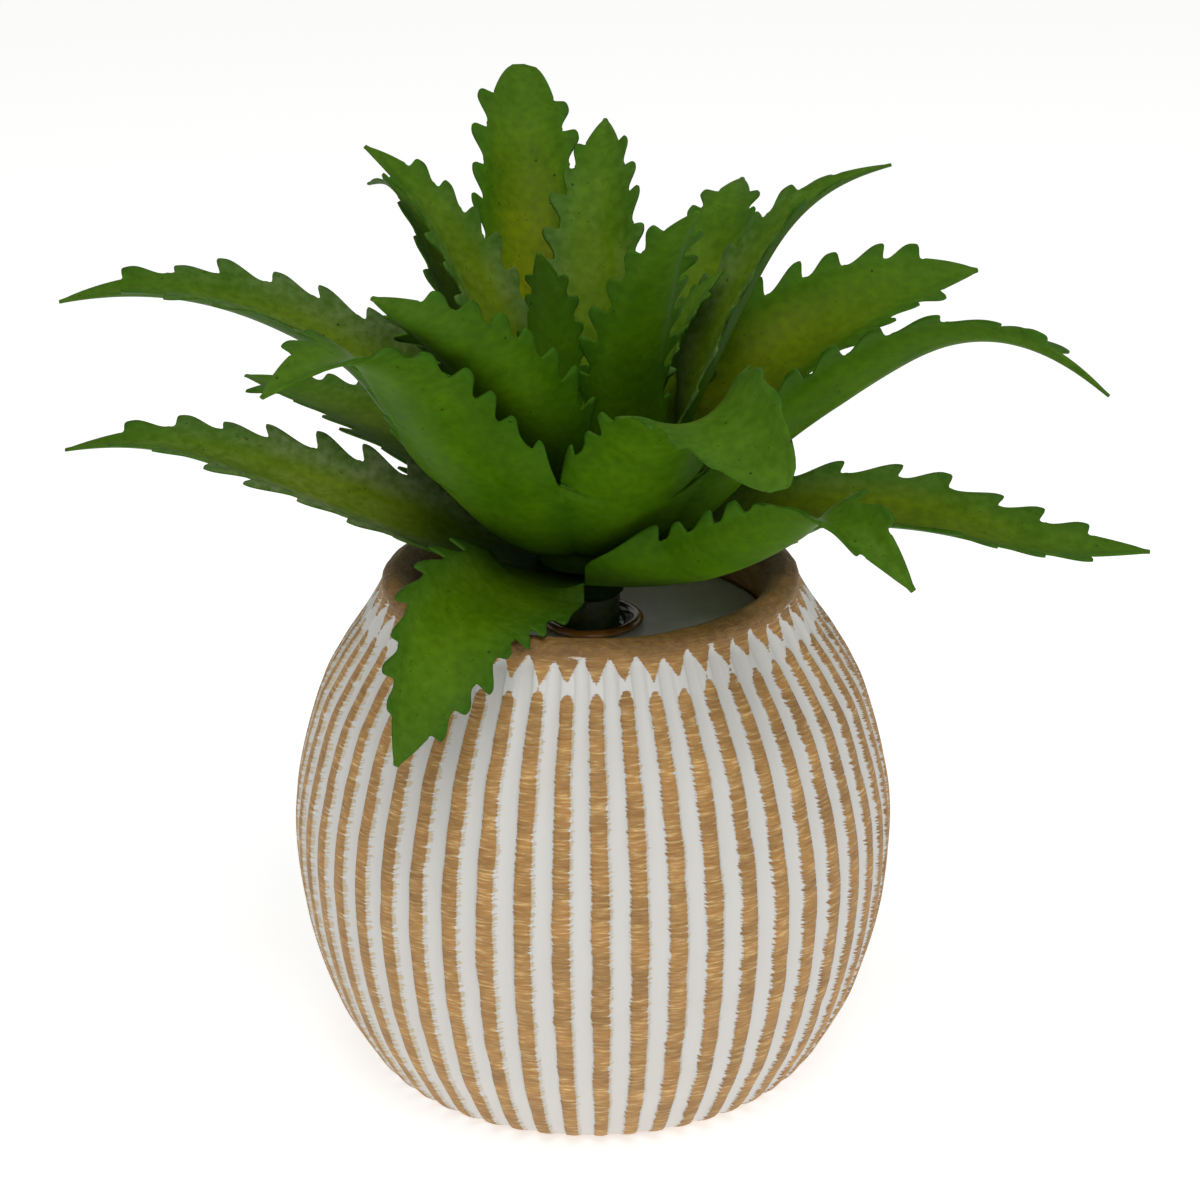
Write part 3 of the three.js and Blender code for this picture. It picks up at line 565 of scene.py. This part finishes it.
def leaf_rows(leaf, whorl, rng):
    """Rows of a leaf: t, and for its two edges the climb of the tooth from 0 to 1, its height in mm,
    its lean along t and its bend up in mm. For q from 0 to 1 over a tooth with its peak at q0 the
    climb is exp(-(|q - q0| / w)^p): w is back before the peak and front after it. A finger has p over
    2 and like sides; a hook has a long low back, a short front and more lean."""
    foot = np.linspace(0, whorl["joined"], 12)
    gap = np.linspace(whorl["joined"], whorl["teethFrom"], 4)[1:-1]
    pitch = (TEETH_TO - whorl["teethFrom"]) / TEETH
    q = np.arange(ROWS_PER_TOOTH) / ROWS_PER_TOOTH
    hook = np.clip(whorl["hook"] + rng.uniform(-0.3, 0.3, (2, TEETH, 1)), 0, 1)
    peak = 0.5 + 0.12 * hook + rng.uniform(-0.06, 0.06, (2, TEETH, 1))
    back = 0.31 + 0.08 * hook
    front = 0.28 - 0.08 * hook
    climb = np.exp(-(np.abs(q - peak) / np.where(q < peak, back, front)) ** (3.6 - 1.3 * hook))
    climb = climb - climb[..., :1] * (1 - q)
    size = 1 + (leaf["toothTip"] - 1) * np.arange(TEETH)[None, :, None] / TEETH
    size = size * rng.uniform(0.7, 1.2, (2, TEETH, 1))
    t = (whorl["teethFrom"] + pitch * (np.arange(TEETH)[:, None] + q)).ravel()
    height = TOOTH_HEIGHT * leaf["length"] * size * climb
    height = height - HOLLOW * np.minimum(size, 1) * (1 - climb) * np.sin(np.pi * q) ** 0.5
    lean = TOOTH_HOOK * (0.8 + 0.5 * hook) * size * climb
    bend = rng.normal(0.1, 0.5, (2, TEETH, 1)) * climb
    end = np.linspace(TEETH_TO, 1, 9)
    pad = ((0, 0), (len(foot) + len(gap), len(end)))
    edges = (np.pad(field.reshape(2, -1), pad) for field in (climb, height, lean, bend))
    return np.concatenate([foot, gap, t, end]), *edges


def whorl_surface(whorl, seed):
    """One closed moulding: for every leaf a grid of points on its upper face and one on its lower
    face, half the thickness either side of the middle surface. Neighbours share the points of their
    seam up to the notch, and the free edges, the foot and the tips are closed by strips of faces."""
    rng = np.random.default_rng(seed)
    leaves = [{**whorl["blade"], **dict(zip(LEAF_KEYS, row)), **row[8]} for row in whorl["leaves"]]
    count = len(leaves)
    for i, leaf in enumerate(leaves):
        gap_after = (leaves[(i + 1) % count]["azimuth"] - leaf["azimuth"]) % 360
        gap_before = (leaf["azimuth"] - leaves[i - 1]["azimuth"]) % 360
        leaf["seam_after"] = leaf["azimuth"] + gap_after / 2
        leaf["seam_before"] = leaf["azimuth"] - gap_before / 2
    out = np.concatenate([RIM_COLUMNS, np.zeros(BLADE_COLUMNS), RIM_COLUMNS[::-1]])
    blade = np.sin(np.linspace(-1, 1, BLADE_COLUMNS) * COLUMN_BUNCHING) / np.sin(COLUMN_BUNCHING)
    rim = np.ones(len(RIM_COLUMNS))
    across = np.concatenate([-rim, blade, rim])
    last = len(across) - 1
    edge = (across > 0).astype(int)
    middle, normal, fields = [], [], []
    for leaf in leaves:
        rows, climb, height, lean, bend = leaf_rows(leaf, whorl, rng)
        t = np.minimum(rows[:, None] + lean.T[:, edge] * out, 1)
        u = np.broadcast_to(across, t.shape)
        tooth = height.T[:, edge]
        grid = leaf_sheet(leaf, whorl, t, u, out, tooth)
        d = 0.004  # over which the slopes are taken
        along = leaf_sheet(leaf, whorl, np.minimum(t + d, 1), u, out, tooth)
        along = along - leaf_sheet(leaf, whorl, np.maximum(t - d, 0), u, out, tooth)
        broad = leaf_sheet(leaf, whorl, t, np.minimum(u + d, 1), out, tooth)
        broad = broad - leaf_sheet(leaf, whorl, t, np.maximum(u - d, -1), out, tooth)
        up = np.cross(along, broad)
        up /= np.linalg.norm(up, axis=-1, keepdims=True)
        middle.append(grid + up * (bend.T[:, edge] * out ** 2)[..., None])
        normal.append(up)
        fields.append((t, across_joined(u, out), climb.T[:, edge] * out))
    joined = rows <= whorl["joined"] + 1e-9
    for i in range(count):
        after = (i + 1) % count
        shared = (middle[i][joined, last] + middle[after][joined, 0]) / 2
        for own, column, half in ((i, last, across > 0), (after, 0, across < 0)):
            shift = shared - middle[own][joined, column]
            share = across_joined(across[half], out[half]) ** 2
            middle[own][np.ix_(joined, half)] += shift[:, None] * share[None, :, None]
        upright = normal[i][joined, last] + normal[after][joined, 0]
        upright /= np.linalg.norm(upright, axis=-1, keepdims=True)
        normal[i][joined, last] = normal[after][joined, 0] = upright
    shape = (count, len(rows), len(across))
    upper = np.arange(np.prod(shape)).reshape(shape)
    for i in range(count):
        upper[(i + 1) % count][joined, 0] = upper[i][joined, last]
    lower = upper + upper.size
    thickness = EDGE_THICKNESS + (RIDGE_THICKNESS - EDGE_THICKNESS) * (1 - np.maximum(
        np.abs(across)[None, :] ** 1.5, rows[:, None] ** 2)) - 0.12 * out
    middle, normal = np.array(middle), np.array(normal)
    half = normal * (thickness / 2)[None, :, :, None]
    points = np.concatenate([(middle + half).reshape(-1, 3), (middle - half).reshape(-1, 3)])
    quads = []

    def strip(a, b, c, d):
        quads.append(np.stack([x.ravel() for x in (a, b, c, d)], axis=1))

    strip(upper[:, :-1, :-1], upper[:, 1:, :-1], upper[:, 1:, 1:], upper[:, :-1, 1:])
    strip(lower[:, :-1, :-1], lower[:, :-1, 1:], lower[:, 1:, 1:], lower[:, 1:, :-1])
    free = slice(int(joined.sum()) - 1, None)
    for column, turned in ((0, False), (last, True)):
        a, b = upper[:, free, column][:, :-1], upper[:, free, column][:, 1:]
        c, d = lower[:, free, column][:, 1:], lower[:, free, column][:, :-1]
        strip(*((a, b, c, d) if turned else (b, a, d, c)))
    strip(upper[:, 0, :-1], upper[:, 0, 1:], lower[:, 0, 1:], lower[:, 0, :-1])
    strip(upper[:, -1, 1:], upper[:, -1, :-1], lower[:, -1, :-1], lower[:, -1, 1:])
    quads = np.concatenate(quads)
    t, u, tooth = (np.array([field[k] for field in fields]).ravel() for k in range(3))
    attributes = {
        "along": np.tile(t, 2), "across": np.tile(u, 2), "tooth": np.tile(tooth, 2),
        "upper": np.repeat([1.0, 0.0], upper.size),
    }
    for key in ("yellow", "bloom"):
        of_leaf = np.repeat([leaf[key] for leaf in leaves], shape[1] * shape[2])
        attributes[key] = np.tile(of_leaf, 2)
    # The hub is a second closed ring, set just into the sheet and painted as the foot of a leaf, painted
    # shade and all.
    rise = np.tan(np.radians(whorl["slope"]))
    hub_radius, hub_foot = whorl["hub"]
    boss = SHEET_START + 1
    hub_top = whorl["height"] + (hub_radius - SHEET_START) * rise
    section = np.array([
        [BORE, hub_foot], [hub_radius - HUB_ROUND, hub_foot], [hub_radius, hub_foot + HUB_ROUND],
        [hub_radius, hub_top], [boss, whorl["height"] + rise],
        [boss, whorl["height"] + HUB_RISE - HUB_ROUND],
        [boss - HUB_ROUND, whorl["height"] + HUB_RISE], [BORE, whorl["height"] + HUB_RISE],
    ])
    hub_points, hub_faces = turned_ring(section, 48)
    used = np.unique(quads)
    place = np.zeros(len(points), int)
    place[used] = np.arange(len(used))
    attributes = {key: np.append(value[used], np.full(len(hub_points), 0.05 * (key == "along")))
                  for key, value in attributes.items()}
    faces = place[quads].tolist() + (np.array(hub_faces) + len(used)).tolist()
    return np.vstack([points[used], hub_points]), faces, attributes


# Soft polyethylene, dull and waxy: two greens in patches, olive yellow in the middle of the blade near
# its foot, a grey bloom on the midrib, dark margins and teeth. The foot is darkened to a deep green, partly
# the plastic's own darker green and partly painted shade under the whorls above; dust lies by the
# margins of leaves that weren't wiped, and there are fine specks all over.
LEAF_DEEP, LEAF_GREEN = "#3c6002", "#4c6f04"
UNDER_DEEP, UNDER_GREEN = "#385c02", "#456803"
LEAF_YELLOW = "#6f7a08"
LEAF_BLOOM = "#707e3c"
LEAF_MARGIN = "#2f5808"
LEAF_TIP = "#486a20"
LEAF_TOOTH = "#315a14"
# Deep green of the foot, with painted shade in it.
FOOT_SHADE_GREEN = "#182b04"
LEAF_DUST = "#76805a"
# How strongly each whorl's foot gets the deep green and painted shade: most on the lowest whorl, least on
# the heart.
FOOT_SHADE_AMOUNT = {"whorl_lower": 0.95, "whorl_middle": 0.8, "whorl_upper": 0.4, "heart": 0.3}
LEAF_CLOUDS = 90.0              # noise cells a metre: patches of 11 mm
LEAF_GRAIN = 700.0              # grain of 1.4 mm
SPECKS = (                      # cells a metre, inner and outer edge in cells, share, strength, colour
    (800.0, 0.1, 0.17, 0.35, 0.6, "#2b3d08"),
    (330.0, 0.05, 0.1, 0.4, 0.8, "#1d2c08"),
    (130.0, 0.012, 0.025, 0.25, 0.7, "#b9c39a"),
)


def leaf_polyethylene(node):
    """The plastic of one whorl. It reads the mesh's own fields: along and across from foot to tip and
    edge to edge, tooth, 1 at a tooth's point, upper, 1 on the upper face, yellow and bloom."""
    material, tree = new_material("leaf_polyethylene_" + node)

    def ramp(value, start, end, low=0.0, high=1.0):
        return add(tree, "MapRange", {"Value": value, "From Min": start, "From Max": end,
                                      "To Min": low, "To Max": high})

    def times(*factors):
        product = factors[0]
        for factor in factors[1:]:
            product = add(tree, "Math", {0: product, 1: factor}, operation="MULTIPLY")
        return product

    def over(below, factor, hex_colour):
        return add(tree, "Mix", {"Factor": factor, "A": below, "B": linear(hex_colour)}, data_type="RGBA")

    place = add(tree, "TexCoord", {}, output=3)
    along, across, tooth, yellow, bloom, upper = (
        add(tree, "Attribute", {}, output=2, attribute_name=name)
        for name in ("along", "across", "tooth", "yellow", "bloom", "upper"))
    side = add(tree, "Math", {0: across}, operation="ABSOLUTE")
    cloud = add(tree, "TexNoise", {"Vector": place, "Scale": LEAF_CLOUDS, "Detail": 4.0,
                                   "Roughness": 0.6})
    fine = add(tree, "TexNoise", {"Vector": place, "Scale": LEAF_GRAIN, "Detail": 3.0})
    patches = ramp(cloud, 0.35, 0.65)
    green = add(tree, "Mix", {"Factor": patches, "A": linear(LEAF_DEEP), "B": linear(LEAF_GREEN)},
                data_type="RGBA")
    yellow = times(yellow, ramp(along, 0.1, 0.3), ramp(along, 0.35, 0.9, 1.0, 0.0),
                   ramp(side, 0.4, 0.95, 1.0, 0.0), ramp(cloud, 0.3, 0.6, 0.5, 1.0))
    green = over(green, yellow, LEAF_YELLOW)
    on_midrib = times(bloom, ramp(side, 0.1, 0.55, 1.0, 0.0), ramp(along, 0.15, 0.4),
                      ramp(fine, 0.35, 0.6, 0.4, 1.0), ramp(cloud, 0.35, 0.6, 0.2, 1.0))
    green = over(green, on_midrib, LEAF_BLOOM)
    under = add(tree, "Mix", {"Factor": patches, "A": linear(UNDER_DEEP), "B": linear(UNDER_GREEN)},
                data_type="RGBA")
    colour = add(tree, "Mix", {"Factor": upper, "A": under, "B": green}, data_type="RGBA")
    colour = over(colour, times(ramp(side, 0.72, 0.97), ramp(cloud, 0.3, 0.6, 0.25, 0.6)), LEAF_MARGIN)
    colour = over(colour, times(ramp(along, 0.6, 1.0), ramp(cloud, 0.3, 0.6, 0.4, 1.0), 0.7), LEAF_TIP)
    colour = over(colour, times(ramp(tooth, 0.1, 0.8), 0.55), LEAF_TOOTH)
    # The foot's deep green: partly the plastic's own, partly painted shade under the whorls above.
    colour = over(colour, times(ramp(along, 0.06, 0.3, 1.0, 0.0), FOOT_SHADE_AMOUNT[node]), FOOT_SHADE_GREEN)
    dust = times(bloom, upper, ramp(side, 0.35, 0.75), ramp(along, 0.08, 0.2),
                 ramp(along, 0.5, 0.9, 1.0, 0.0), ramp(fine, 0.35, 0.6, 0.6, 1.3),
                 ramp(cloud, 0.35, 0.6, 0.4, 1.3))
    colour = over(colour, dust, LEAF_DUST)
    grain = ramp(fine, 0.3, 0.7, 0.84, 1.12)
    grain = add(tree, "CombineColor", {"Red": grain, "Green": grain, "Blue": grain})
    colour = add(tree, "Mix", {"Factor": 1.0, "A": colour, "B": grain}, data_type="RGBA",
                 blend_type="MULTIPLY")
    for scale, inner, outer, share, strength, speck_colour in SPECKS:
        distance = add(tree, "TexVoronoi", {"Vector": place, "Scale": scale})
        cell = add(tree, "TexVoronoi", {"Vector": place, "Scale": scale}, output=1)
        chosen = ramp(add(tree, "SeparateColor", {"Color": cell}), share, share + 0.01, 1.0, 0.0)
        colour = over(colour, times(ramp(distance, inner, outer, strength, 0.0), chosen), speck_colour)
    roughness = ramp(fine, 0.3, 0.7, 0.42, 0.55)
    bump = add(tree, "Bump", {"Height": cloud, "Strength": 0.35, "Distance": 0.0008})
    bump = add(tree, "Bump", {"Height": fine, "Strength": 0.3, "Distance": 0.00015, "Normal": bump})
    finish = add(tree, "BsdfPrincipled", {"Base Color": colour, "Roughness": roughness, "Normal": bump,
                                          "Specular IOR Level": 0.04})
    add(tree, "OutputMaterial", {"Surface": finish})
    return material


for number, (node, whorl) in enumerate(WHORLS.items()):
    leaves = mesh_piece(node + "_leaves", *whorl_surface(whorl, FIRST_SEED + number))
    leaves.data.materials.append(leaf_polyethylene(node))
    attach(leaves, "root")
    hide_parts(node)

# ---------------------------------------------------------------- floor, light and camera
# A pale level floor in a white room of soft light, a large lamp above and one low in front. The
# camera stands where the picture was taken.

REACH = 3000                    # mm from the middle of the floor to its sides
FLOOR_WHITE = "#dcdcda"
FLOOR_GLOW = 0.62
ROOM_LIGHT = 0.38
floor = mesh_piece("floor", [[-REACH, -REACH, 0], [REACH, -REACH, 0], [REACH, REACH, 0],
                             [-REACH, REACH, 0]], [[0, 1, 2, 3]])
pale_floor, tree = new_material("pale_floor")
finish = add(tree, "BsdfPrincipled", {"Base Color": linear(FLOOR_WHITE), "Roughness": 0.8,
                                      "Emission Color": (1, 1, 1, 1), "Emission Strength": FLOOR_GLOW})
add(tree, "OutputMaterial", {"Surface": finish})
floor.data.materials.append(pale_floor)

world = bpy.data.worlds.new("white_room")
world.use_nodes = True
world.node_tree.nodes["Background"].inputs["Color"].default_value = (1, 1, 1, 1)
world.node_tree.nodes["Background"].inputs["Strength"].default_value = ROOM_LIGHT
bpy.context.scene.world = world


def axes_facing(aim, roll=0.0):
    """Right, up and backward unit vectors of a lamp or camera that looks along aim, turned about it
    clockwise by roll degrees."""
    back = -np.asarray(aim) / np.linalg.norm(aim)
    right = np.cross([0, 0, 1], back)
    right /= np.linalg.norm(right)
    up = np.cross(back, right)
    c, s = np.cos(np.radians(roll)), np.sin(np.radians(roll))
    return right * c - up * s, right * s + up * c, back


def soft_lamp(name, place, target, size, power):
    """A square area lamp at place, in metres, that faces target."""
    lamp = bpy.data.lights.new(name, "AREA")
    lamp.size = size
    lamp.energy = power
    fixture = bpy.data.objects.new(name, lamp)
    fixture.location = place
    aim = np.array(target) - np.array(place)
    fixture.rotation_euler = Matrix(np.column_stack(axes_facing(aim)).tolist()).to_euler()
    bpy.context.scene.collection.objects.link(fixture)


soft_lamp("key", (0.05, -0.34, 0.9), (0, 0, 0.08), 0.6, 4.2)
soft_lamp("fill_light", (0.1, -0.85, 0.35), (0, 0, 0.08), 0.8, 1.2)

CAMERA_ELEVATION = 21.66        # degrees
CAMERA_DISTANCE = 0.487723
AIM_HEIGHT = 0.077217
CAMERA_ROLL = 0.633             # degrees
SENSOR_WIDTH = 36               # mm
FRAME_WIDTH = 1200              # pixels, as are the focal length and the column of the pot's axis
FOCAL_LENGTH = 3105
AXIS_COLUMN = 590.63
camera = bpy.data.objects.new("camera", bpy.data.cameras.new("camera"))
camera.data.sensor_width = SENSOR_WIDTH
camera.data.lens = SENSOR_WIDTH * FOCAL_LENGTH / FRAME_WIDTH
camera.data.shift_x = (FRAME_WIDTH / 2 - AXIS_COLUMN) / FRAME_WIDTH
camera.data.clip_start = 0.01
camera.data.clip_end = 20
back = heading(0, CAMERA_ELEVATION)
spot = back * CAMERA_DISTANCE + [0, 0, AIM_HEIGHT]
axes = np.eye(4)
axes[:3, :3] = np.column_stack(axes_facing(-back, CAMERA_ROLL))
axes[:3, 3] = spot
camera.matrix_world = Matrix(axes.tolist())
bpy.context.scene.collection.objects.link(camera)
bpy.context.scene.camera = camera

bpy.context.scene.view_settings.view_transform = "Standard"
